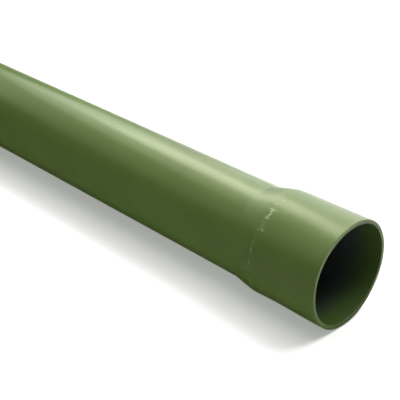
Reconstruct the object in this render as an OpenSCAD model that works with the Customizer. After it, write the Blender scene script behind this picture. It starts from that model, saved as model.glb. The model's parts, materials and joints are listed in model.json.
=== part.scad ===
// Belled rigid PVC electrical conduit.
// One length of extruded pipe, plain at one end and formed into a socket at the other.
// The axis lies along X. The socket's mouth is at the origin and opens towards +X,
// and the pipe runs back from it along -X. Millimetres throughout.

/* [Pipe] */
// Overall length, from the plain end to the socket's mouth
overall_length = 3000; // [1000:10:6000]
// Outside diameter of the pipe
outside_d = 60.3; // [40:0.1:90]
// Wall thickness of the pipe
wall = 2.5; // [1.5:0.1:5]

/* [Socket] */
// Depth of the socket, from its mouth to the corner where the shoulder begins
socket_depth = 51; // [30:0.5:90]
// Gap on the radius between the socket and the plain end that it receives
socket_clearance = 0.5; // [0.1:0.05:0.5]
// Wall thickness of the socket, which forming leaves a little thinner than the pipe's
socket_wall = 2.45; // [1.5:0.05:5]
// Length along the axis over which the socket narrows down to the pipe
shoulder_length = 14; // [9:0.5:30]
// Radius of the bends where the shoulder meets the socket and the pipe
bend_r = 24; // [10:1:30]

/* [Edges] */
// Edge break round the outside of the socket's mouth
mouth_outer_break = 0.4; // [0.1:0.1:1]
// Edge break round the inside of the socket's mouth
mouth_inner_break = 0.4; // [0.1:0.1:0.5]
// Edge break on both edges of the plain end
plain_break = 0.5; // [0.1:0.1:0.7]

/* [Finish] */
// Colour of the compound
compound_color = "#546932"; // [#546932:Olive green, #9a9d9c:Grey, #d9782b:Orange]

/* [Hidden] */
// Facets round the pipe in a preview
$fn = 96;
// Straight steps that stand for each bend of the section
bend_steps = 6;
// Largest share of the shoulder's slant that the bend at either end may take up
bend_share = 0.48;

// Radii of the pipe, and of the socket that slips over a pipe of the same size
pipe_outer_r = outside_d / 2;
pipe_bore_r = pipe_outer_r - wall;
socket_bore_r = pipe_outer_r + socket_clearance;
socket_outer_r = socket_bore_r + socket_wall;

// Stations along the axis, counted from the mouth
shoulder_start = -socket_depth;
shoulder_end = shoulder_start - shoulder_length;
plain_end = -overall_length;

// Unit vector at an angle in the plane of the section, which is [radius, station]
function heading(angle) = [cos(angle), sin(angle)];

// A bend of radius r that rounds off a corner, as points from heading a0 to heading a1.
// It starts on the line into the corner, the tangent's length short of it.
function bend(corner, a0, a1, r) =
    let (turn = a1 - a0,
         inward = sign(turn) * 90,
         start = corner - r * tan(abs(turn) / 2) * heading(a0),
         centre = start + r * heading(a0 + inward))
    [for (i = [0 : bend_steps])
        centre + r * heading(a0 - inward + turn * i / bend_steps)];

// One face of the wall over the shoulder, from the pipe's radius up to the socket's.
// Straight along the axis is a heading of 90 degrees, and the slope leans out from it.
function shoulder_line(pipe_r, socket_r) =
    let (rise = socket_r - pipe_r,
         slope = atan(rise / shoulder_length),
         slant = norm([rise, shoulder_length]),
         r = min(bend_r, bend_share * slant / tan(slope / 2)))
    concat(bend([pipe_r, shoulder_end], 90, 90 - slope, r),
           bend([socket_r, shoulder_start], 90 - slope, 90, r));

function reversed(points) = [for (i = [len(points) - 1 : -1 : 0]) points[i]];

// The wall's section: along the outside from the plain end to the mouth, and back
// along the bore.
function wall_section() = concat(
    [[pipe_outer_r - plain_break, plain_end],
     [pipe_outer_r, plain_end + plain_break]],
    shoulder_line(pipe_outer_r, socket_outer_r),
    [[socket_outer_r, -mouth_outer_break],
     [socket_outer_r - mouth_outer_break, 0],
     [socket_bore_r + mouth_inner_break, 0],
     [socket_bore_r, -mouth_inner_break]],
    reversed(shoulder_line(pipe_bore_r, socket_bore_r)),
    [[pipe_bore_r, plain_end + plain_break],
     [pipe_bore_r + plain_break, plain_end]]);

// The whole conduit, as one turned wall laid along X
module conduit() {
    color(compound_color)
        rotate([0, 90, 0])
            rotate_extrude()
                polygon(wall_section());
}

conduit();
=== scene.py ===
"""Looks of one length of belled rigid PVC electrical conduit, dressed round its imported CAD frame.

The conduit lies along X. Its socket's mouth is at the origin and opens towards +X. The wall
is one piece of extruded pipe with one end formed into a socket, so it is one closed mesh.
Lengths are in metres unless a name ends in _mm. A depth is a distance behind the mouth, and
angles round the pipe count from +Z towards +Y.
"""

import json
import logging
import math
from dataclasses import dataclass, field
from enum import Enum

import bpy
import numpy as np
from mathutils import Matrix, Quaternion, Vector


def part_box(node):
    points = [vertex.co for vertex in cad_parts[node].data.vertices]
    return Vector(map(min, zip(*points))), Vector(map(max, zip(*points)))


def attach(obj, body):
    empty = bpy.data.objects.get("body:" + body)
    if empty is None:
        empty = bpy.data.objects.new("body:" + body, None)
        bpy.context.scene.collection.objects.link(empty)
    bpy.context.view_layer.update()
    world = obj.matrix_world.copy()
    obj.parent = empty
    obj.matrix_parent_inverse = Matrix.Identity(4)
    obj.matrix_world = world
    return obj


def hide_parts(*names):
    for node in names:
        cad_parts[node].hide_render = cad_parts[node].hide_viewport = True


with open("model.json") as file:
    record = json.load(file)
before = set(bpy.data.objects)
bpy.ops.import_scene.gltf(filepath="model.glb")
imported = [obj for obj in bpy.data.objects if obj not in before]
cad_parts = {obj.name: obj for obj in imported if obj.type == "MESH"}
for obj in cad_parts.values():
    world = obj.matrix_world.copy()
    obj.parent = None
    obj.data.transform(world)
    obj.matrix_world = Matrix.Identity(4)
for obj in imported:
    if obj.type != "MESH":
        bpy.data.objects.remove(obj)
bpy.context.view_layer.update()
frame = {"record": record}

LOG = logging.getLogger("conduit")
MM = 0.001

# A Mix node's colour sockets go by number, because its number and vector sockets bear the same names.
MIX_A = 6
MIX_B = 7
MIX_RESULT = 2
# Nearly all of a noise texture's values lie within the first of these, and a wave's within the second.
NOISE_SPREAD = (0.3, 0.7)
WAVE_SPREAD = (0.0, 1.0)
# A wave texture goes from one line to the next over this much of its scaled coordinate.
WAVE_PITCH = math.pi / 10


def linear(hex_code: str) -> tuple[float, float, float, float]:
    """Turns an sRGB colour into the linear one that a shader takes.

    Each channel c becomes c / 12.92 up to 0.04045 and ((c + 0.055) / 1.055) ^ 2.4 above it.

    Args:
        hex_code: Six hex digits after a hash sign.

    Returns:
        Linear red, green and blue, and an alpha of one.
    """
    channels = [int(hex_code[i : i + 2], 16) / 255 for i in (1, 3, 5)]
    lit = [c / 12.92 if c <= 0.04045 else ((c + 0.055) / 1.055) ** 2.4 for c in channels]
    return (lit[0], lit[1], lit[2], 1.0)


def add_node(
    tree: bpy.types.NodeTree,
    kind: str,
    inputs: dict[str | int, object] | None = None,
    **settings: object,
) -> bpy.types.Node:
    """Adds one shader node with its settings, values and links.

    Args:
        tree: The node tree that it goes into.
        kind: The node's type name.
        inputs: Socket names or numbers, each with a value or with the output that feeds it.
        **settings: Properties of the node itself.

    Returns:
        The new node.
    """
    made = tree.nodes.new(kind)
    for name, value in settings.items():
        setattr(made, name, value)
    for socket, value in (inputs or {}).items():
        if isinstance(value, bpy.types.NodeSocket):
            tree.links.new(value, made.inputs[socket])
        else:
            made.inputs[socket].default_value = value
    return made


def empty_material(name: str) -> bpy.types.Material:
    """Makes a material whose node tree is still empty.

    Args:
        name: The material's name.

    Returns:
        The new material.
    """
    made = bpy.data.materials.new(name)
    made.use_nodes = True
    made.node_tree.nodes.clear()
    return made


def add_object(name: str, data: bpy.types.ID) -> bpy.types.Object:
    """Adds an object to the scene.

    Args:
        name: The object's name.
        data: Its mesh, lamp or camera.

    Returns:
        The new object.
    """
    made = bpy.data.objects.new(name, data)
    bpy.context.scene.collection.objects.link(made)
    return made


def add_lamp(name: str, width: float, height: float, level: float) -> bpy.types.Object:
    """Adds a flat lamp that the camera doesn't see.

    A flat lamp of area A and power P looks P / (pi A) bright.

    Args:
        name: The lamp's name.
        width: Its size along its own X.
        height: Its size along its own Y.
        level: Its brightness to look at, where 1 is a white sheet fully lit.

    Returns:
        The lamp, still at the origin and facing down.
    """
    lamp = bpy.data.lights.new(name, "AREA")
    lamp.shape = "RECTANGLE"
    lamp.size = width
    lamp.size_y = height
    lamp.energy = level * math.pi * width * height
    made = add_object(name, lamp)
    made.visible_camera = False
    return made


def soft_ramp(distance: np.ndarray, run: float) -> np.ndarray:
    """A ramp of slope one that starts at zero distance, with its corner rounded.

    It is 0 up to -run, (distance + run)^2 / (4 run) from there to +run, and distance after.

    Args:
        distance: How far past the corner each point lies.
        run: Half the length of the rounding.

    Returns:
        The ramp's height at each point.
    """
    inside = np.clip(distance + run, 0, 2 * run)
    return inside**2 / (4 * run) + np.maximum(distance - run, 0)


def smooth_step(share: np.ndarray) -> np.ndarray:
    """Goes smoothly from 0 to 1 as the share does, as 3 s^2 - 2 s^3."""
    held = np.clip(share, 0, 1)
    return held * held * (3 - 2 * held)


def turn_from(angle: np.ndarray, start_deg: float) -> np.ndarray:
    """The angle from a start in degrees, in radians and brought to between -pi and pi."""
    return (angle - math.radians(start_deg) + math.pi) % (2 * math.pi) - math.pi


def stepped(first: float, last: float, step: float) -> np.ndarray:
    """Even places from first to last, both included, about one step apart."""
    return np.linspace(first, last, round(abs(first - last) / step) + 1)


class Zone(Enum):
    """Which finish a ring of faces wears: the number is its material's place on the piece."""

    OUTSIDE = 0
    END = 1
    BORE = 2


@dataclass(frozen=True)
class Wall:
    """The wall's section, as sizes that the frame gives and the ones that it leaves open.

    Attributes:
        length: From the mouth to the plain end.
        pipe_outer_r: The pipe's outside radius.
        pipe_bore_r: The pipe's bore radius.
        socket_outer_r: The socket's outside radius.
        socket_bore_r: The socket's bore radius.
        shoulder_start: Depth at which the socket ends and the shoulder begins.
        shoulder_length: How long the shoulder is.
        bend_run: Half the length of the rounding at each end of the shoulder.
        mouth_outer_break: How far the mouth's outer edge is rounded off.
        mouth_inner_break: How far the mouth's inner edge is rounded off.
        plain_break: How far the plain end's two edges are rounded off.
    """

    length: float
    pipe_outer_r: float
    pipe_bore_r: float
    socket_outer_r: float
    socket_bore_r: float
    shoulder_start: float = 51 * MM
    shoulder_length: float = 14 * MM
    bend_run: float = 2.5 * MM
    mouth_outer_break: float = 0.4 * MM
    mouth_inner_break: float = 0.4 * MM
    plain_break: float = 0.5 * MM

    @classmethod
    def from_frame(cls, record: dict) -> "Wall":
        """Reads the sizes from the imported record's mounts and the CAD node's box.

        Args:
            record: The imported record.

        Returns:
            The wall's section.
        """
        radius = {m["name"]: m["dims"]["r_mm"] * MM for m in record["mounts"]}
        low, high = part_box("conduit")
        return cls(
            length=high.x - low.x,
            pipe_outer_r=radius["spigot"],
            pipe_bore_r=radius["wireway"],
            socket_outer_r=high.z,
            socket_bore_r=radius["socket"],
        )

    @property
    def shoulder_end(self) -> float:
        """Depth at which the shoulder ends and the pipe begins."""
        return self.shoulder_start + self.shoulder_length

    def radius(self, depth: np.ndarray, pipe_r: float, socket_r: float) -> np.ndarray:
        """One face's radius at each depth.

        The pipe's radius plus the slope times the difference of two rounded ramps, one for
        each end of the shoulder.

        Args:
            depth: Depths behind the mouth.
            pipe_r: The face's radius on the pipe.
            socket_r: The face's radius on the socket.

        Returns:
            The face's radius at each depth.
        """
        slope = (socket_r - pipe_r) / self.shoulder_length
        to_pipe = soft_ramp(self.shoulder_end - depth, self.bend_run)
        to_socket = soft_ramp(self.shoulder_start - depth, self.bend_run)
        return pipe_r + slope * (to_pipe - to_socket)

    def outer(self, depth: np.ndarray) -> np.ndarray:
        """The outside's radius at each depth."""
        return self.radius(depth, self.pipe_outer_r, self.socket_outer_r)

    def bore(self, depth: np.ndarray) -> np.ndarray:
        """The bore's radius at each depth."""
        return self.radius(depth, self.pipe_bore_r, self.socket_bore_r)


@dataclass(frozen=True)
class Wave:
    """One sine round the pipe, which may wind along it as a thread does.

    Attributes:
        height: How far it swings to either side, in the unit of what it shapes.
        turns: Whole waves in one turn round the pipe.
        phase: Its phase on top of the mouth, in radians.
        wound_mm: Depth over which it winds on by a radian, and backwards if below zero.
    """

    height: float
    turns: int
    phase: float = 0.0
    wound_mm: float = math.inf

    def at(self, angle: np.ndarray, depth: np.ndarray) -> np.ndarray:
        """Its value: height sin(turns a + d / wound + phase) for the angle a and the depth d."""
        return self.height * np.sin(self.turns * angle + depth / MM / self.wound_mm + self.phase)


@dataclass(frozen=True)
class Mark:
    """One nick in the crease, or a scratch: a small raised or pressed patch of the socket.

    Attributes:
        angle_deg: Where it lies round the socket.
        depth_mm: Where it lies behind the mouth.
        around_mm: Half its length round the socket.
        along_mm: Half its length along the socket.
        height_mm: How far it stands up, or is pressed in if below zero.
        pale: How stress-whitened it is, from 0 to 1.
        lean: Depth that it gains for each millimetre round the socket.
    """

    angle_deg: float
    depth_mm: float
    around_mm: float
    along_mm: float
    height_mm: float
    pale: float
    lean: float = 0.0

    def footprint(self, angle: np.ndarray, depth: np.ndarray, radius: float) -> np.ndarray:
        """How much of the mark each point of the grid has, from 0 to 1.

        It is exp(-(a^2 + b^2)), where a and b are the distances round and along the socket
        from the mark's middle as shares of its half lengths.

        Args:
            angle: Angles round the pipe, in radians.
            depth: Depths behind the mouth.
            radius: The socket's outside radius.

        Returns:
            The mark's weight at each point.
        """
        around_mm = turn_from(angle, self.angle_deg) * radius / MM
        along_mm = depth / MM - self.depth_mm - self.lean * around_mm
        return np.exp(-((around_mm / self.around_mm) ** 2) - (along_mm / self.along_mm) ** 2)


# The nicks on the side that faces the viewer, which the tool that formed and cooled the socket
# left there, and one faint scratch near the mouth.
SEEN_MARKS = (
    Mark(-32.5, 45.6, 2.2, 0.45, 0.10, 1.0, -0.18),
    Mark(-27.5, 46.1, 1.0, 0.8, 0.06, 0.8),
    Mark(-25.6, 46.0, 0.45, 2.2, 0.08, 0.8),
    Mark(-36.3, 45.8, 0.45, 1.5, 0.08, 0.8),
    Mark(-32.0, 47.0, 1.6, 0.35, -0.05, 0.0),
    Mark(-34.5, 44.3, 1.0, 0.3, -0.05, 0.0),
    Mark(-41.5, 46.0, 0.4, 1.8, 0.03, 0.25),
    Mark(-44.5, 45.3, 0.4, 2.0, 0.03, 0.25),
    Mark(-49.4, 44.3, 0.6, 0.8, 0.07, 0.75),
    Mark(-50.4, 47.3, 0.5, 1.0, 0.04, 0.35),
    Mark(-47.5, 45.7, 0.8, 1.2, 0.03, 0.3),
    Mark(-71.9, 46.8, 1.2, 0.5, 0.05, 0.55),
    Mark(-64.0, 46.8, 3.0, 0.35, 0.03, 0.25),
    Mark(-80.0, 46.8, 3.0, 0.35, 0.02, 0.15),
    Mark(-86.3, 46.7, 1.0, 0.5, 0.05, 0.5),
    Mark(-92.5, 48.4, 0.6, 0.8, 0.02, 0.25),
    Mark(-14.4, 46.0, 0.5, 0.9, -0.10, 0.0),
    Mark(-92.5, 5.5, 0.35, 4.0, -0.01, 0.11),
    Mark(-10.5, 45.2, 0.5, 0.8, 0.06, 0.5),
    Mark(-18.0, 47.5, 0.4, 1.4, 0.03, 0.2),
)


@dataclass(frozen=True)
class Crease:
    """The broken line that the forming tool pressed round the socket, just before the shoulder.

    Attributes:
        depth_mm: Where it lies behind the mouth.
        half_width_mm: Half its width.
        height_mm: How far it stands up.
        line_pale: How stress-whitened the line between the nicks is.
        wander_mm: How it strays along the socket.
        kept: How much of the line is left, on average.
        breaks: How much more or less of it is left round the socket.
        seen_marks: The nicks on the side that faces the viewer.
        hidden_marks: How many nicks the rest of the ring has.
        hidden_from_deg: Where those begin round the socket.
        hidden_to_deg: Where they end.
        hidden_spread_mm: How far they stray from the line.
        hidden_around_mm: Least and most of half their length round the socket.
        hidden_along_mm: Least and most of half their length along it.
        hidden_height_mm: Least and most of their height.
        hidden_pale: Least and most of their whitening.
        seed: Starts the random draws.
    """

    depth_mm: float = 46.5
    half_width_mm: float = 0.45
    height_mm: float = 0.02
    line_pale: float = 0.12
    wander_mm: tuple[Wave, ...] = (Wave(0.25, 2, 0.6), Wave(0.12, 7))
    kept: float = 0.5
    breaks: tuple[Wave, ...] = (Wave(0.4, 9, 1.0), Wave(0.3, 23))
    seen_marks: tuple[Mark, ...] = SEEN_MARKS
    hidden_marks: int = 34
    hidden_from_deg: float = 0.0
    hidden_to_deg: float = 255.0
    hidden_spread_mm: float = 0.6
    hidden_around_mm: tuple[float, float] = (0.4, 1.8)
    hidden_along_mm: tuple[float, float] = (0.35, 1.1)
    hidden_height_mm: tuple[float, float] = (-0.05, 0.08)
    hidden_pale: tuple[float, float] = (0.0, 0.6)
    seed: int = 11

    def marks(self) -> tuple[Mark, ...]:
        """Gathers all the nicks: the listed ones, and seeded ones of the same kind on the rest.

        Returns:
            The nicks.
        """
        rng = np.random.default_rng(self.seed)
        angles = rng.uniform(self.hidden_from_deg, self.hidden_to_deg, self.hidden_marks)
        more = [
            Mark(
                angle_deg=float(angle),
                depth_mm=float(rng.normal(self.depth_mm, self.hidden_spread_mm)),
                around_mm=float(rng.uniform(*self.hidden_around_mm)),
                along_mm=float(rng.uniform(*self.hidden_along_mm)),
                height_mm=float(rng.uniform(*self.hidden_height_mm)),
                pale=float(rng.uniform(*self.hidden_pale)),
            )
            for angle in angles
        ]
        return self.seen_marks + tuple(more)

    def shape(self, angle: np.ndarray, depth: np.ndarray, radius: float) -> tuple[np.ndarray, np.ndarray]:
        """The crease's height and whitening over the grid.

        The line is a ridge exp(-d^2) across, d being the distance from it as a share of its
        half width. It wanders and fades as sines of the angle, and the nicks are added.

        Args:
            angle: Angles round the pipe, in radians.
            depth: Depths behind the mouth.
            radius: The socket's outside radius.

        Returns:
            Heights, and whitening from 0 to 1.
        """
        wander_mm = sum(wave.at(angle, depth) for wave in self.wander_mm)
        off = (depth / MM - self.depth_mm - wander_mm) / self.half_width_mm
        left = np.clip(self.kept + sum(wave.at(angle, depth) for wave in self.breaks), 0, 1)
        line = np.exp(-(off**2)) * left
        height_mm = self.height_mm * line
        pale = self.line_pale * line
        for mark in self.marks():
            weight = mark.footprint(angle, depth, radius)
            height_mm = height_mm + mark.height_mm * weight
            pale = np.maximum(pale, mark.pale * weight)
        return height_mm * MM, pale


@dataclass(frozen=True)
class Lump:
    """A broad swell or hollow that hand forming left in the socket.

    Attributes:
        angle_deg: Where its middle lies round the socket.
        half_angle_deg: How far it reaches round the socket.
        depth_mm: Where its middle lies behind the mouth.
        half_depth_mm: How far it reaches along the socket.
        height_mm: How far it stands out, or in if below zero.
    """

    angle_deg: float
    half_angle_deg: float
    depth_mm: float
    half_depth_mm: float
    height_mm: float

    def shape(self, angle: np.ndarray, depth: np.ndarray) -> np.ndarray:
        """Its height, exp(-(a^2 + b^2)) for the shares a round and b along of its reach.

        Args:
            angle: Angles round the pipe, in radians.
            depth: Depths behind the mouth.

        Returns:
            The height at each point.
        """
        around = turn_from(angle, self.angle_deg) / math.radians(self.half_angle_deg)
        along = (depth / MM - self.depth_mm) / self.half_depth_mm
        return self.height_mm * MM * np.exp(-(around**2) - along**2)


@dataclass(frozen=True)
class Forming:
    """How forming and sawing left the socket out of true: oval, leaning, cut askew and uneven.

    Attributes:
        oval: How far the socket is from round, as a share of its radius.
        oval_axis_deg: Where it is widest.
        fade_from: Depth at which the forming begins to fade out.
        fade_to: Depth at which none of it is left.
        ripple_mm: The uneven skin, as crossed waves.
        lumps: The broader swells and hollows.
        lean_from: Depth at which the socket begins to lean off the pipe's axis.
        lean_run: Half the length over which it bends to do so.
        lean_at_mouth: How far the mouth's middle stands off the axis along Y and Z.
        cut_slope: How much the mouth's X changes for each metre along Y and along Z.
        cut_fade: Depth at which nothing of the askew cut is left.
    """

    oval: float = 0.015
    oval_axis_deg: float = 32.5
    fade_from: float = 51 * MM
    fade_to: float = 75 * MM
    ripple_mm: tuple[Wave, ...] = (
        Wave(0.03, 5, 0.0, 9.0),
        Wave(0.021, 3, 1.3, -14.0),
        Wave(0.012, 11, 0.4, 6.0),
    )
    lumps: tuple[Lump, ...] = (
        Lump(300, 28, 0, 25, 1.0),
        Lump(5, 25, 0, 20, -0.55),
        Lump(232, 20, 0, 15, -0.3),
        Lump(223, 35, 35, 22, -0.85),
        Lump(246, 22, 53, 8, -0.6),
    )
    lean_from: float = 62 * MM
    lean_run: float = 14 * MM
    lean_at_mouth: tuple[float, float] = (0.64 * MM, 0.55 * MM)
    cut_slope: tuple[float, float] = (-0.006, -0.013)
    cut_fade: float = 30 * MM

    def formed(self, depth: np.ndarray) -> np.ndarray:
        """How much of the forming each depth shows, from 1 on the socket to 0 on the pipe."""
        return 1 - smooth_step((depth - self.fade_from) / (self.fade_to - self.fade_from))

    def scale(self, angle: np.ndarray, depth: np.ndarray) -> np.ndarray:
        """What the radius is multiplied by: 1 + oval cos 2(angle - axis), faded out over the shoulder."""
        return 1 + self.oval * self.formed(depth) * np.cos(2 * turn_from(angle, self.oval_axis_deg))

    def unevenness(self, angle: np.ndarray, depth: np.ndarray) -> np.ndarray:
        """How far the socket's skin stands out, as crossed waves and lumps that fade over the shoulder.

        Args:
            angle: Angles round the pipe, in radians.
            depth: Depths behind the mouth.

        Returns:
            The height at each point.
        """
        ripple = sum(wave.at(angle, depth) for wave in self.ripple_mm) * MM
        lumps = sum(lump.shape(angle, depth) for lump in self.lumps)
        return (ripple + lumps) * self.formed(depth)

    def settle(self, points: np.ndarray, depth: np.ndarray) -> np.ndarray:
        """Leans the socket off the pipe's axis and cuts its mouth a little askew.

        Y and Z gain lean_at_mouth times a rounded ramp that falls from 1 at the mouth to 0 past
        lean_from. X then gains the cut's slope times (y, z) times 1 - depth / cut_fade, held at
        or above zero.

        Args:
            points: The grid's points.
            depth: Depths behind the mouth.

        Returns:
            The moved points.
        """
        lean = soft_ramp(self.lean_from - depth, self.lean_run) / self.lean_from
        askew = np.clip(1 - depth / self.cut_fade, 0, 1)
        y = points[..., 1] + self.lean_at_mouth[0] * lean
        z = points[..., 2] + self.lean_at_mouth[1] * lean
        x = points[..., 0] + askew * (self.cut_slope[0] * y + self.cut_slope[1] * z)
        return np.stack([x, y, z], axis=-1)


@dataclass(frozen=True)
class RigidPvc:
    """What the three finishes share: the compound itself, whose highlights take on some of its green.

    Attributes:
        ior: The plastic's refractive index.
        specular_level: How strongly it mirrors, where 0.5 is what its index gives.
        specular_tint: The colour that it gives to what it mirrors face on.
    """

    ior: float = 1.53
    specular_level: float = 0.68
    specular_tint: str = "#f7ffce"

    def varied(
        self,
        tree: bpy.types.NodeTree,
        color: bpy.types.NodeSocket | tuple[float, ...],
        pattern: bpy.types.NodeSocket,
        spread: tuple[float, float],
        tones: tuple[float, float],
    ) -> bpy.types.NodeSocket:
        """Makes a colour a little darker and lighter as a pattern goes.

        Args:
            tree: The finish's node tree.
            color: The colour.
            pattern: The pattern.
            spread: The pattern's least and most.
            tones: What the colour's brightness is multiplied by at each of those.

        Returns:
            The varied colour.
        """
        tone = add_node(
            tree,
            "ShaderNodeMapRange",
            {
                "Value": pattern,
                "From Min": spread[0],
                "From Max": spread[1],
                "To Min": tones[0],
                "To Max": tones[1],
            },
        )
        shade = add_node(tree, "ShaderNodeHueSaturation", {"Value": tone.outputs[0], "Color": color})
        return shade.outputs[0]

    def surface(
        self,
        tree: bpy.types.NodeTree,
        color: bpy.types.NodeSocket,
        roughness: bpy.types.NodeSocket | float,
        relief: bpy.types.NodeSocket,
        height: float,
    ) -> None:
        """Adds what all three finishes end in: fine relief as a bump, the shader and the output.

        Args:
            tree: The finish's node tree.
            color: The finish's colour.
            roughness: The finish's roughness.
            relief: The relief's pattern, from 0 to 1.
            height: How high the relief stands where the pattern is 1.
        """
        bump = add_node(tree, "ShaderNodeBump", {"Height": relief, "Distance": height})
        shader = add_node(
            tree,
            "ShaderNodeBsdfPrincipled",
            {
                "Base Color": color,
                "Roughness": roughness,
                "IOR": self.ior,
                "Specular IOR Level": self.specular_level,
                "Specular Tint": linear(self.specular_tint),
                "Normal": bump.outputs[0],
            },
        )
        add_node(tree, "ShaderNodeOutputMaterial", {"Surface": shader.outputs[0]})


@dataclass(frozen=True)
class DieLines:
    """The lines that the die draws along the pipe, coarser than real ones, so that they show.

    Attributes:
        pitch_mm: How far apart they are.
        length_mm: How far one runs along the pipe.
        height: How deep they are.
        detail: How many times they split into finer ones.
    """

    pitch_mm: float
    length_mm: float
    height: float
    detail: float = 3.0

    def pattern(self, tree: bpy.types.NodeTree, place: bpy.types.NodeSocket) -> bpy.types.NodeSocket:
        """Adds the lines to a finish, as a noise that is drawn out along X.

        Args:
            tree: The finish's node tree.
            place: The coordinates that it reads.

        Returns:
            The noise, from 0 to 1.
        """
        drawn_out = (self.pitch_mm / self.length_mm, 1, 1)
        drawn = add_node(tree, "ShaderNodeMapping", {"Vector": place, "Scale": drawn_out})
        lines = add_node(
            tree,
            "ShaderNodeTexNoise",
            {"Vector": drawn.outputs[0], "Scale": 1 / (self.pitch_mm * MM), "Detail": self.detail},
        )
        return lines.outputs["Fac"]


@dataclass(frozen=True)
class ExtrudedPvc(RigidPvc):
    """Rigid PVC drawn through a die and a cooling sleeve and left as it came, semi-gloss.

    It gives the eye an even olive green with broad soft highlights, faint lines drawn along
    the pipe, and a slightly duller skin where the socket was heated again.

    Attributes:
        name: The material's name.
        color: The compound's green.
        worn_color: The green, stress-whitened where the tool nicked it.
        roughness: The skin's roughness on the pipe. While it was under about 0.274 there and over
            it on the socket, a dark ring showed in the highlights where it crossed that value.
        formed_roughness: How much rougher it is where the socket was heated again.
        scuff_roughness: How much rougher it is where it is nicked.
        die_lines: The lines drawn along it.
        mottle_mm: Size of the patches in which the green varies.
        mottle_detail: How many times they split into finer ones.
        mottle_roughness: How strong each finer one is, as a share of the one before.
        mottle_tones: What the green is multiplied by in the darkest and the lightest of them.
    """

    name: str = "rigid_pvc_extruded_semi_gloss"
    color: str = "#546932"
    worn_color: str = "#a9b78c"
    roughness: float = 0.278
    formed_roughness: float = 0.03
    scuff_roughness: float = 0.2
    die_lines: DieLines = DieLines(1.6, 400.0, 0.0015 * MM)
    mottle_mm: float = 30.0
    mottle_detail: float = 4.0
    mottle_roughness: float = 0.6
    mottle_tones: tuple[float, float] = (0.95, 1.05)

    def material(self) -> bpy.types.Material:
        """Builds the outside's material.

        Returns:
            The material, which reads Object coordinates and the scuff and formed attributes.
        """
        made = empty_material(self.name)
        tree = made.node_tree
        place = add_node(tree, "ShaderNodeTexCoord").outputs["Object"]
        scuff = add_node(tree, "ShaderNodeAttribute", attribute_name="scuff").outputs["Fac"]
        formed = add_node(tree, "ShaderNodeAttribute", attribute_name="formed").outputs["Fac"]
        lines = self.die_lines.pattern(tree, place)
        mottle = add_node(
            tree,
            "ShaderNodeTexNoise",
            {
                "Vector": place,
                "Scale": 1 / (self.mottle_mm * MM),
                "Detail": self.mottle_detail,
                "Roughness": self.mottle_roughness,
            },
        )
        patches = mottle.outputs["Fac"]
        green = self.varied(tree, linear(self.color), patches, NOISE_SPREAD, self.mottle_tones)
        worn = add_node(
            tree,
            "ShaderNodeMix",
            {"Factor": scuff, MIX_A: green, MIX_B: linear(self.worn_color)},
            data_type="RGBA",
        )
        rough = add_node(
            tree,
            "ShaderNodeMath",
            {0: formed, 1: self.formed_roughness, 2: self.roughness},
            operation="MULTIPLY_ADD",
        )
        rougher = add_node(
            tree,
            "ShaderNodeMath",
            {0: scuff, 1: self.scuff_roughness, 2: rough.outputs[0]},
            operation="MULTIPLY_ADD",
        )
        color = worn.outputs[MIX_RESULT]
        self.surface(tree, color, rougher.outputs[0], lines, self.die_lines.height)
        return made


@dataclass(frozen=True)
class BorePvc(RigidPvc):
    """The same compound on the bore, which only the air inside the extruder's die smoothed.

    It gives the eye a duller green than the outside, painted darker as shade inside the bore and greyed
    further past the lip as painted shade.

    Attributes:
        name: The material's name.
        color: The bore's green, darker than the outside's as painted shade inside the bore.
        painted_shade_color: The grey that it turns to deep inside, as painted shade.
        roughness: How dull it is.
        die_lines: The lines drawn along it.
        line_tones: What the green is multiplied by between the lines and on them.
    """

    name: str = "rigid_pvc_extruded_bore"
    # Painted shade: a darker green than the outside's, for the shade inside the bore.
    color: str = "#3d5325"
    # Painted shade: the grey that the bore turns to deep inside.
    painted_shade_color: str = "#404746"
    roughness: float = 0.38
    die_lines: DieLines = DieLines(2.4, 600.0, 0.006 * MM)
    line_tones: tuple[float, float] = (0.94, 1.06)

    def material(self) -> bpy.types.Material:
        """Builds the bore's material.

        Returns:
            The material, which reads Object coordinates and the attribute that greys the bore past the
            lip as painted shade.
        """
        made = empty_material(self.name)
        tree = made.node_tree
        place = add_node(tree, "ShaderNodeTexCoord").outputs["Object"]
        lines = self.die_lines.pattern(tree, place)
        # The bore's grey past the lip is painted shade.
        painted_shade = add_node(tree, "ShaderNodeAttribute", attribute_name="painted_shade").outputs["Fac"]
        painted_shade_mix = add_node(
            tree,
            "ShaderNodeMix",
            {"Factor": painted_shade, MIX_A: linear(self.color), MIX_B: linear(self.painted_shade_color)},
            data_type="RGBA",
        )
        color = self.varied(tree, painted_shade_mix.outputs[MIX_RESULT], lines, NOISE_SPREAD, self.line_tones)
        self.surface(tree, color, self.roughness, lines, self.die_lines.height)
        return made


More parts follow.
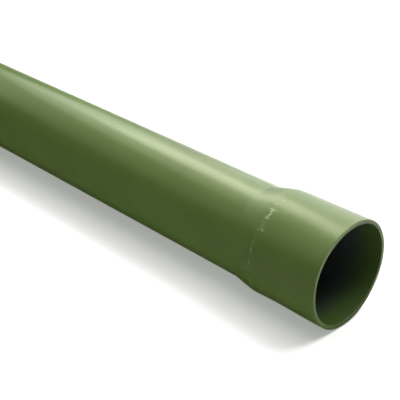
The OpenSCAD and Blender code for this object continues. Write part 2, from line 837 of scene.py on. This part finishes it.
@dataclass(frozen=True)
class SawnPvc(RigidPvc):
    """The ends as the saw and the deburring knife left them: matt, and without the skin's shine.

    It gives the eye a dry green edge, paler where the saw tore it and darker where it cut
    clean, with painted light on the ring's left side and painted shade at its top and bottom,
    crossed by faint saw lines that are drawn coarser than real ones, so that they show.

    Attributes:
        name: The material's name.
        color: The cleanly cut compound, which the ring's top and bottom take as painted shade.
        torn_and_lit_color: The compound where the saw tore and whitened it, also the painted light on the
            ring's left side.
        roughness: How dull it is.
        saw_line_mm: How far apart the saw lines are.
        saw_line_height: How deep they are.
        saw_line_waver: How crooked they are.
        saw_line_tones: What the green is multiplied by between the lines and on them.
    """

    name: str = "rigid_pvc_sawn_matt"
    color: str = "#3d4a29"
    # Painted light as well: the paler ends on the ring's left side take this colour too.
    torn_and_lit_color: str = "#6a7c4f"
    roughness: float = 0.55
    saw_line_mm: float = 2.76
    saw_line_height: float = 0.02 * MM
    saw_line_waver: float = 1.2
    saw_line_tones: tuple[float, float] = (0.94, 1.05)

    def material(self) -> bpy.types.Material:
        """Builds the sawn ends' material.

        Returns:
            The material, which reads Object coordinates and the torn attribute.
        """
        made = empty_material(self.name)
        tree = made.node_tree
        place = add_node(tree, "ShaderNodeTexCoord").outputs["Object"]
        saw = add_node(
            tree,
            "ShaderNodeTexWave",
            {
                "Vector": place,
                "Scale": WAVE_PITCH / (self.saw_line_mm * MM),
                "Distortion": self.saw_line_waver,
            },
            bands_direction="Z",
        ).outputs["Fac"]
        # The saw's tears, and painted light and shade round the ring.
        torn_and_painted_light = add_node(tree, "ShaderNodeAttribute", attribute_name="torn_and_painted_light").outputs["Fac"]
        cut = add_node(
            tree,
            "ShaderNodeMix",
            {"Factor": torn_and_painted_light, MIX_A: linear(self.color), MIX_B: linear(self.torn_and_lit_color)},
            data_type="RGBA",
        )
        color = self.varied(tree, cut.outputs[MIX_RESULT], saw, WAVE_SPREAD, self.saw_line_tones)
        self.surface(tree, color, self.roughness, saw, self.saw_line_height)
        return made


@dataclass(frozen=True)
class TearingAndPaintedLight:
    """How pale the ends are round the ring: a mean, one swing and a double swing.

    The mean is how much the saw tore them. The swings are painted light and shade: paler on
    the left side of the ring and darker at its top and bottom.

    Attributes:
        mean: How much the saw tore them on average, from 0 to 1.
        once: How far it swings once round the ring, as painted light on the left side.
        once_deg: Where that swing is greatest.
        twice: How far it swings twice round the ring, as painted light at the sides and painted shade at
            the top and bottom.
        twice_deg: Where one of its two peaks is.
    """

    # The mean is the saw's tears; the swings below are painted light and shade.
    mean: float = 0.4
    once: float = 0.33
    once_deg: float = 255.0
    twice: float = 0.25
    twice_deg: float = 270.0

    def at(self, angle: np.ndarray) -> np.ndarray:
        """The paleness at each angle, torn and painted: mean + once cos(a - once_deg) + twice cos 2(a -
        twice_deg).

        Args:
            angle: Angles round the pipe, in radians.

        Returns:
            The paleness, held between 0 and 1.
        """
        once = self.once * np.cos(turn_from(angle, self.once_deg))
        twice = self.twice * np.cos(2 * turn_from(angle, self.twice_deg))
        return np.clip(self.mean + once + twice, 0, 1)


@dataclass(frozen=True)
class Spacing:
    """How close the rings stand: coarse along the pipe, close at the shoulder, closest at the crease.

    Attributes:
        pipe_rings: Rings on the pipe, which crowd together towards the shoulder.
        pipe_gap: From the last of them to the shoulder's first.
        shoulder_reach: How far past the shoulder its rings begin, on the pipe.
        shoulder_step: From one of the shoulder's rings to the next.
        crease_reach: How far the crease's rings reach to either side of it.
        crease_step: From one of the crease's rings to the next.
        socket_gap: From the last of the crease's rings to the socket's first.
        socket_step: From one of the socket's rings to the next.
        lip_from: Depth of the first of the lip's rings.
        lip_step: From one of the lip's rings to the next.
        end_rings: Rings across each cut end, with the two at its edges.
        break_rings: Rings round each edge break, with the two where it begins and ends.
        bore_every: The bore has one ring for this many of the outside's.
        bore_lip: Depths of the bore's rings near the mouth, past the edge break.
        bore_from: Depth past which the bore's rings follow the outside's.
    """

    pipe_rings: int = 32
    pipe_gap: float = 1 * MM
    shoulder_reach: float = 6 * MM
    shoulder_step: float = 0.75 * MM
    crease_reach: float = 3.5 * MM
    crease_step: float = 0.25 * MM
    socket_gap: float = 2 * MM
    socket_step: float = 2.5 * MM
    lip_from: float = 6 * MM
    lip_step: float = 0.7 * MM
    end_rings: int = 6
    break_rings: int = 4
    bore_every: int = 2
    bore_lip: tuple[float, ...] = (2 * MM, 5 * MM)
    bore_from: float = 8 * MM


@dataclass(frozen=True)
class Rings:
    """The rings that the wall is turned from, in order round the section.

    Attributes:
        depth: Depth of each ring behind the mouth.
        radius: Radius of each ring.
        zone: The Zone number of the faces from each ring to the next.
    """

    depth: np.ndarray
    radius: np.ndarray
    zone: np.ndarray


@dataclass
class BelledConduit:
    """The whole length of conduit, as one turned wall with its socket, crease and cut ends.

    Attributes:
        wall: The wall's section.
        segments: Faces in one turn round the pipe.
        painted_shade_from: Depth at which painted shade begins to grey the bore.
        painted_shade_to: Depth at which it is wholly grey.
        spacing: How close the rings stand.
        crease: The crease and its nicks.
        forming: How the socket is out of true.
        tearing_and_painted_light: How the saw left the cut ends, with painted light and shade round them.
        outside: The outside's finish.
        end: The cut ends' finish.
        bore: The bore's finish.
    """

    wall: Wall
    segments: int = 480
    # Between these two depths the bore greys, as painted shade.
    painted_shade_from: float = 8 * MM
    painted_shade_to: float = 24 * MM
    spacing: Spacing = field(default_factory=Spacing)
    crease: Crease = field(default_factory=Crease)
    forming: Forming = field(default_factory=Forming)
    tearing_and_painted_light: TearingAndPaintedLight = field(default_factory=TearingAndPaintedLight)
    outside: ExtrudedPvc = field(default_factory=ExtrudedPvc)
    end: SawnPvc = field(default_factory=SawnPvc)
    bore: BorePvc = field(default_factory=BorePvc)

    def break_curve(self, size: float) -> tuple[np.ndarray, np.ndarray]:
        """A rounded edge break, as how far each point lies inside the two faces that it joins.

        The two distances are size (1 - cos t) and size (1 - sin t), for t from 0 to a quarter turn.

        Args:
            size: How far the break reaches along each face.

        Returns:
            Distance inside the first face, and inside the second, at each point.
        """
        t = np.linspace(0, math.pi / 2, self.spacing.break_rings)
        return size * (1 - np.cos(t)), size * (1 - np.sin(t))

    def across(self, start: float, stop: float) -> np.ndarray:
        """Radii of the rings across a cut end, without the two at its edges."""
        return np.linspace(start, stop, self.spacing.end_rings)[1:-1]

    def face_depths(self) -> np.ndarray:
        """Where the rings of the straight faces lie, from the far plain end to the mouth.

        On the pipe, counted from the shoulder, a ring's distance from the first one goes as the
        square of its number. Elsewhere the rings are evenly spaced.

        Returns:
            Depths behind the mouth.
        """
        wall = self.wall
        gap = self.spacing
        crease = self.crease.depth_mm * MM
        deep_side = crease + gap.crease_reach
        near_side = crease - gap.crease_reach
        first = wall.shoulder_end + gap.shoulder_reach
        near = first + gap.pipe_gap
        far = wall.length - wall.plain_break
        runs = [
            near + (far - near) * np.linspace(1, 0, gap.pipe_rings) ** 2,
            stepped(first, deep_side + gap.shoulder_step, gap.shoulder_step),
            stepped(deep_side, near_side, gap.crease_step),
            stepped(near_side - gap.socket_gap, gap.lip_from + gap.socket_step, gap.socket_step),
            stepped(gap.lip_from, wall.mouth_outer_break, gap.lip_step),
        ]
        return np.concatenate(runs)

    def rings(self) -> Rings:
        """Lays out every ring of the section: the outside, the mouth, the bore, then the plain end.

        Returns:
            The rings.
        """
        wall = self.wall
        outside = self.face_depths()
        inside = outside[outside > self.spacing.bore_from][::-1][:: self.spacing.bore_every]
        depth, radius, zone = [], [], []

        def put(new_depth: np.ndarray | float, new_radius: np.ndarray, kind: Zone) -> None:
            """Adds a run of rings whose faces wear one finish.

            Args:
                new_depth: Depth of each ring, or one for all of them.
                new_radius: Radius of each ring.
                kind: The finish.
            """
            depth.append(np.broadcast_to(new_depth, new_radius.shape))
            radius.append(new_radius)
            zone.append(np.full(new_radius.shape, kind.value))

        # An edge break leaves out the ring that a straight face beside it already has.
        put(outside, wall.outer(outside), Zone.OUTSIDE)
        near, deep = self.break_curve(wall.mouth_outer_break)
        put(deep[1:], wall.socket_outer_r - near[1:], Zone.OUTSIDE)
        face_in = wall.socket_bore_r + wall.mouth_inner_break
        face_out = wall.socket_outer_r - wall.mouth_outer_break
        put(0.0, self.across(face_out, face_in), Zone.END)
        near, deep = self.break_curve(wall.mouth_inner_break)
        put(deep[::-1][:-1], wall.socket_bore_r + near[::-1][:-1], Zone.END)
        lip = np.array([wall.mouth_inner_break, *self.spacing.bore_lip])
        put(lip, wall.bore(lip), Zone.BORE)
        put(inside, wall.bore(inside), Zone.BORE)
        near, deep = self.break_curve(wall.plain_break)
        put((wall.length - deep)[1:], wall.pipe_bore_r + near[1:], Zone.END)
        face_in = wall.pipe_bore_r + wall.plain_break
        face_out = wall.pipe_outer_r - wall.plain_break
        put(wall.length, self.across(face_in, face_out), Zone.END)
        put((wall.length - deep)[::-1][:-1], wall.pipe_outer_r - near[::-1][:-1], Zone.END)
        return Rings(np.concatenate(depth), np.concatenate(radius), np.concatenate(zone))

    def faces(self, count: int) -> np.ndarray:
        """Joins each ring to the next, and the last to the first, with faces that point outwards.

        Args:
            count: How many rings there are.

        Returns:
            The four corners of each face, as numbers of points.
        """
        ring = np.arange(count)[:, None]
        column = np.arange(self.segments)[None, :]
        next_ring = (ring + 1) % count
        next_column = (column + 1) % self.segments
        corners = [
            ring * self.segments + column,
            next_ring * self.segments + column,
            next_ring * self.segments + next_column,
            ring * self.segments + next_column,
        ]
        return np.stack(corners, axis=-1).reshape(-1, 4)

    def build(self) -> bpy.types.Object:
        """Turns the section into one closed mesh.

        Each point is (-depth, r sin a, r cos a) for its ring's depth and radius and its angle
        a. The forming factor scales r, and the unevenness is added to it. The outside gains the
        crease too.

        Returns:
            The finished piece.
        """
        rings = self.rings()
        turn = np.arange(self.segments) * 2 * math.pi / self.segments
        angle, depth = np.meshgrid(turn, rings.depth)
        outer = (rings.zone == Zone.OUTSIDE.value)[:, None]
        crease, pale = self.crease.shape(angle, depth, self.wall.socket_outer_r)
        uneven = self.forming.unevenness(angle, depth)
        radius = rings.radius[:, None] * self.forming.scale(angle, depth) + uneven + crease * outer
        points = np.stack([-depth, radius * np.sin(angle), radius * np.cos(angle)], axis=-1)
        points = self.forming.settle(points, depth)

        faces = self.faces(len(rings.depth))
        mesh = bpy.data.meshes.new("belled_conduit")
        mesh.from_pydata(points.reshape(-1, 3), [], faces)
        mesh.polygons.foreach_set("use_smooth", np.ones(len(faces), bool))
        mesh.polygons.foreach_set("material_index", np.repeat(rings.zone, self.segments))
        # Past the lip the bore is greyed, as painted shade deep inside it.
        past_lip = (depth - self.painted_shade_from) / (self.painted_shade_to - self.painted_shade_from)
        attributes = {
            "scuff": pale * outer,
            "formed": self.forming.formed(depth),
            "painted_shade": smooth_step(past_lip) * ~outer,
            # The ends are paled by the saw's tears and by painted light and shade round the ring.
            "torn_and_painted_light": self.tearing_and_painted_light.at(angle),
        }
        for name, values in attributes.items():
            attribute = mesh.attributes.new(name, "FLOAT", "POINT")
            attribute.data.foreach_set("value", values.astype(np.float32).ravel())
        mesh.update()
        return add_object("belled_conduit", mesh)

    def dress(self, piece: bpy.types.Object) -> None:
        """Gives the piece its three finishes, in the order of Zone.

        Args:
            piece: The conduit.
        """
        finishes = {Zone.OUTSIDE: self.outside, Zone.END: self.end, Zone.BORE: self.bore}
        for kind in Zone:
            piece.data.materials.append(finishes[kind].material())

    def make(self) -> bpy.types.Object:
        """Builds and dresses the conduit, hangs it under the root body, and hides the CAD node that it
        stands for.

        Returns:
            The finished piece.
        """
        piece = self.build()
        self.dress(piece)
        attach(piece, "root")
        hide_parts("conduit")
        return piece


@dataclass(frozen=True)
class SoftBox:
    """One studio soft box, turned towards the studio's centre.

    Attributes:
        name: What it is called.
        azimuth_deg: Direction that it stands in, from +X towards +Y.
        elevation_deg: Its height above the horizon as an angle.
        width_deg: How wide it looks from the centre.
        height_deg: How tall it looks from there.
        level: Its brightness to look at, where 1 is a white sheet fully lit.
        lean_deg: How far its width is turned up from level.
        distance: How far it stands from the centre.
    """

    name: str
    azimuth_deg: float
    elevation_deg: float
    width_deg: float
    height_deg: float
    level: float
    lean_deg: float = 0.0
    distance: float = 0.5

    def build(self, centre: Vector) -> bpy.types.Object:
        """Hangs the soft box: a side that looks w wide from a distance d is 2 d tan(w / 2) long.

        Args:
            centre: The studio's centre.

        Returns:
            The lamp.
        """
        azimuth = math.radians(self.azimuth_deg)
        elevation = math.radians(self.elevation_deg)
        heading = Vector((math.cos(azimuth), math.sin(azimuth), 0))
        out = heading * math.cos(elevation) + Vector((0, 0, math.sin(elevation)))
        width = 2 * self.distance * math.tan(math.radians(self.width_deg / 2))
        height = 2 * self.distance * math.tan(math.radians(self.height_deg / 2))
        made = add_lamp(self.name, width, height, self.level)
        made.location = centre + out * self.distance
        facing = (-out).to_track_quat("-Z", "Y")
        lean = Quaternion((0, 0, 1), math.radians(self.lean_deg))
        made.rotation_euler = (facing @ lean).to_euler()
        return made


@dataclass(frozen=True)
class StripBox:
    """A long soft box hung level over the far run of the conduit, facing straight down.

    Attributes:
        name: What it is called.
        near_x: Its end towards the socket.
        far_x: Its end towards the plain end.
        height: How far it hangs above the conduit's axis.
        width: How wide it is, across the conduit.
        level: Its brightness to look at, where 1 is a white sheet fully lit.
    """

    name: str = "far_strip"
    near_x: float = -1.2
    far_x: float = -3.2
    height: float = 0.6
    width: float = 0.5
    level: float = 1.5

    def build(self) -> bpy.types.Object:
        """Hangs the strip, level and facing down.

        Returns:
            The lamp.
        """
        made = add_lamp(self.name, self.near_x - self.far_x, self.width, self.level)
        made.location = ((self.near_x + self.far_x) / 2, 0, self.height)
        return made


@dataclass(frozen=True)
class MattFloor:
    """White matt acrylic sheet, lit from below, and more so where the soft boxes don't reach.

    It gives the eye a pale floor all the way to the horizon.

    Attributes:
        name: The material's name.
        color: Its own colour.
        glow: How bright the light from below is near the socket.
        far_glow: How bright it is away from the soft boxes.
        glow_from: How far from the studio's centre it begins to rise.
        glow_to: Where it is at its brightest.
    """

    name: str = "studio_floor_matt_acrylic"
    color: str = "#f4f4f2"
    glow: float = 0.32
    far_glow: float = 0.78
    glow_from: float = 0.35
    glow_to: float = 0.95

    def material(self, centre: Vector) -> bpy.types.Material:
        """Builds the floor's material.

        Args:
            centre: The studio's centre.

        Returns:
            The material, which reads Object coordinates.
        """
        made = empty_material(self.name)
        tree = made.node_tree
        matt = add_node(tree, "ShaderNodeBsdfDiffuse", {"Color": linear(self.color)})
        place = add_node(tree, "ShaderNodeTexCoord").outputs["Object"]
        away = add_node(
            tree,
            "ShaderNodeVectorMath",
            {0: place, 1: tuple(centre)},
            operation="DISTANCE",
        )
        level = add_node(
            tree,
            "ShaderNodeMapRange",
            {
                "Value": away.outputs["Value"],
                "From Min": self.glow_from,
                "From Max": self.glow_to,
                "To Min": self.glow,
                "To Max": self.far_glow,
            },
            interpolation_type="SMOOTHSTEP",
        )
        glow = add_node(tree, "ShaderNodeEmission", {"Strength": level.outputs[0]})
        both = add_node(tree, "ShaderNodeAddShader", {0: matt.outputs[0], 1: glow.outputs[0]})
        add_node(tree, "ShaderNodeOutputMaterial", {"Surface": both.outputs[0]})
        return made


@dataclass
class Studio:
    """A plain pale floor and surround, soft boxes round the socket and a strip over the far run.

    Attributes:
        floor_z: The floor's height.
        lit_depth: Depth behind the mouth that the soft boxes are turned to.
        floor_half: Half the floor's width.
        floor_seam: Y of the seam just behind the conduit, past which it mirrors the floor.
        mirrored_to: Y of the seam further back, past which it no longer does.
        floor_finish: The floor's finish.
        surround_color: The surround's colour.
        surround_level: The surround's brightness.
        strip: The strip over the far run.
        boxes: The soft boxes.
    """

    floor_z: float
    lit_depth: float = 100 * MM
    floor_half: float = 60.0
    floor_seam: float = 0.035
    mirrored_to: float = 0.62
    floor_finish: MattFloor = field(default_factory=MattFloor)
    surround_color: str = "#f4f4f2"
    surround_level: float = 1.0
    strip: StripBox = field(default_factory=StripBox)
    boxes: tuple[SoftBox, ...] = (
        SoftBox("key", 145, 52, 19, 45, 3.45, 13),
        SoftBox("key_halo", 156, 44, 37, 54, 1.23, -20),
        SoftBox("back_panel", 102, 31.5, 57, 62, 1.48, -5),
        SoftBox("over_panel", 112, 48, 85, 26, 0.79, 79),
        SoftBox("top_right", 50.7, 58.8, 20, 20, 11.4, 0, 1.2),
        SoftBox("right_over", 350, 72, 50, 34, 1.76),
        SoftBox("right_low", 350, 35, 60, 30, 0.24),
        SoftBox("front_right", 300, 50, 40, 40, 0.15),
        SoftBox("left_panel", 197, 51, 76, 55, 0.39, 25),
        SoftBox("left_low", 242, 72, 40, 51, 0.19, -19),
        SoftBox("low_behind", 142, 18, 18, 37, 0.9, -61),
        SoftBox("room_light", 90, 75, 60, 60, 0.28, 0, 9.0),
    )

    @property
    def centre(self) -> Vector:
        """The point on the pipe's axis that the soft boxes are turned to."""
        return Vector((-self.lit_depth, 0, 0))

    def floor(self) -> None:
        """Lays the floor as three sheets, level with the conduit's lowest point.

        The conduit mirrors only the one just behind it, as if black cards hid the other two.
        """
        paint = self.floor_finish.material(self.centre)
        half = self.floor_half
        for name, y0, y1, mirrored in (
            ("floor_behind", self.floor_seam, self.mirrored_to, True),
            ("floor_beyond", self.mirrored_to, half, False),
            ("floor_near", -half, self.floor_seam, False),
        ):
            corners = [(-half, y0), (half, y0), (half, y1), (-half, y1)]
            mesh = bpy.data.meshes.new(name)
            mesh.from_pydata([(x, y, self.floor_z) for x, y in corners], [], [(0, 1, 2, 3)])
            mesh.materials.append(paint)
            made = add_object(name, mesh)
            made.visible_glossy = mirrored

    def surround(self) -> None:
        """A pale surround that only the camera sees, above the floor's horizon."""
        world = bpy.data.worlds.new("studio_surround")
        world.use_nodes = True
        tree = world.node_tree
        tree.nodes.clear()
        sky = add_node(
            tree,
            "ShaderNodeBackground",
            {"Color": linear(self.surround_color), "Strength": self.surround_level},
        )
        add_node(tree, "ShaderNodeOutputWorld", {"Surface": sky.outputs[0]})
        visible = world.cycles_visibility
        visible.diffuse = False
        visible.glossy = False
        visible.transmission = False
        visible.scatter = False
        bpy.context.scene.world = world

    def build(self) -> None:
        """Sets up the floor, the surround, every soft box, the strip and the plain display transform."""
        self.floor()
        self.surround()
        for box in self.boxes:
            box.build(self.centre)
        self.strip.build()
        view = bpy.context.scene.view_settings
        view.view_transform = "Standard"
        view.look = "None"


@dataclass(frozen=True)
class Viewpoint:
    """The camera, for a square picture.

    Attributes:
        stands_at: Where it stands.
        azimuth_deg: Which way it looks: 0 is along +Y and 90 along -X.
        elevation_deg: How far it looks down.
        roll_deg: How far it is turned about its own line of sight.
        lens_mm: Its focal length.
        sensor_mm: Its sensor's width.
        sees_from: Nearest distance that it sees.
        sees_to: Farthest distance that it sees.
    """

    stands_at: tuple[float, float, float] = (0.23387, -0.35042, 0.27666)
    azimuth_deg: float = 45.18
    elevation_deg: float = 28.93
    roll_deg: float = 0.29
    lens_mm: float = 79.67
    sensor_mm: float = 36.0
    sees_from: float = 0.01
    sees_to: float = 500.0

    def build(self) -> bpy.types.Object:
        """Makes the camera and sets it as the scene's.

        Returns:
            The camera.
        """
        azimuth = math.radians(self.azimuth_deg)
        down = math.radians(self.elevation_deg)
        ahead = Vector(
            (-math.sin(azimuth) * math.cos(down), math.cos(azimuth) * math.cos(down), -math.sin(down))
        )
        camera = bpy.data.cameras.new("viewpoint")
        camera.lens = self.lens_mm
        camera.sensor_width = self.sensor_mm
        camera.clip_start = self.sees_from
        camera.clip_end = self.sees_to
        made = add_object("viewpoint", camera)
        made.location = self.stands_at
        roll = Quaternion((0, 0, 1), math.radians(self.roll_deg))
        made.rotation_euler = (ahead.to_track_quat("-Z", "Y") @ roll).to_euler()
        bpy.context.scene.camera = made
        return made


def lowest_point(piece: bpy.types.Object) -> float:
    """Finds how low the piece reaches.

    Args:
        piece: A piece whose mesh holds its place.

    Returns:
        The lowest height of its vertices.
    """
    spots = np.empty(len(piece.data.vertices) * 3, np.float32)
    piece.data.vertices.foreach_get("co", spots)
    return float(spots.reshape(-1, 3)[:, 2].min())


def main() -> None:
    """Builds the camera, the conduit and the studio in order, and reports each piece."""
    logging.basicConfig(level=logging.INFO, format="%(name)s: %(message)s")
    Viewpoint().build()
    conduit = BelledConduit(Wall.from_frame(frame["record"]))
    piece = conduit.make()
    piece.data.calc_loop_triangles()
    LOG.info("%s: %d triangles", piece.name, len(piece.data.loop_triangles))
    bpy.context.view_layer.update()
    Studio(lowest_point(piece)).build()


if __name__ == "__main__":
    main()
